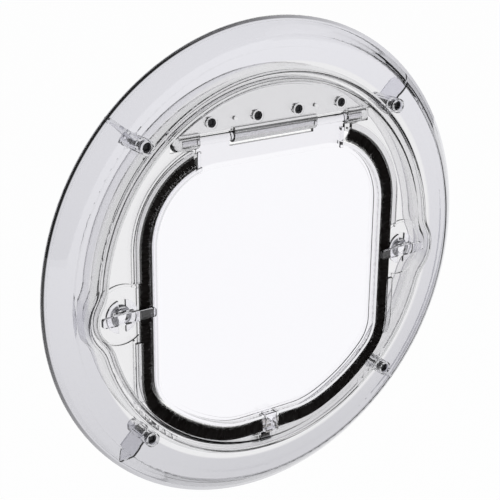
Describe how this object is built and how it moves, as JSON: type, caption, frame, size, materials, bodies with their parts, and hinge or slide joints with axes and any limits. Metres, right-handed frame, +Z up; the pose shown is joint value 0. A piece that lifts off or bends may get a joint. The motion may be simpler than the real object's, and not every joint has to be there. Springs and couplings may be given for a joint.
{
  "type": "cat flap",
  "caption": "Round clear cat flap for a glass pane: ring frame with a swinging panel, brush seal, magnetic catch and turning locks.",
  "frame": {"origin": "centre of the ring, in the plane where the back of the rim meets the glass", "axes": "+Y from the room through the glass to the outside, +Z up, +X to the right seen from the room"},
  "size_m": [0.34, 0.028, 0.34],
  "materials": {
    "clear_plastic": "clear moulded, polished",
    "black_screw": "black plated steel",
    "nickel_magnet": "nickel plated",
    "black_magnet": "plain black ferrite",
    "bristle": "dark nylon bristle",
    "brush_backing": "translucent strip",
    "spring_steel": "bright spring steel"
  },
  "bodies": {
    "frame": {"front_frame": "clear_plastic", "hinge_cover": "clear_plastic", "frame_magnet": "black_magnet", "frame_magnet_cap": "clear_plastic", "cover_screw_1": "black_screw", "cover_screw_2": "black_screw", "cover_screw_3": "black_screw", "cover_screw_4": "black_screw", "post_screw_1": "black_screw", "post_screw_2": "black_screw", "post_screw_3": "black_screw", "post_screw_4": "black_screw", "left_brush": "bristle", "right_brush": "bristle", "left_brush_spine": "brush_backing", "right_brush_spine": "brush_backing", "left_upper_retainer": "clear_plastic", "right_upper_retainer": "clear_plastic", "left_lower_retainer": "clear_plastic", "right_lower_retainer": "clear_plastic"},
    "flap": {"door_panel": "clear_plastic", "door_magnet": "nickel_magnet", "door_magnet_cap": "clear_plastic"},
    "left_lock": {"left_lock_lever": "clear_plastic", "left_lock_clip": "spring_steel"},
    "right_lock": {"right_lock_lever": "clear_plastic", "right_lock_clip": "spring_steel"}
  },
  "joints": [
    {"name": "flap_swing", "type": "hinge", "parent": "frame", "child": "flap", "pos_m": [0, -0.0076, 0.0967], "axis": [1, 0, 0], "range_deg": [-85, 85]},
    {"name": "left_lock_turn", "type": "hinge", "parent": "frame", "child": "left_lock", "pos_m": [-0.117, -0.0074, -0.0102], "axis": [0, -1, 0], "range_deg": [0, 90]},
    {"name": "right_lock_turn", "type": "hinge", "parent": "frame", "child": "right_lock", "pos_m": [0.117, -0.0074, -0.0102], "axis": [0, 1, 0], "range_deg": [0, 90]}
  ]
}
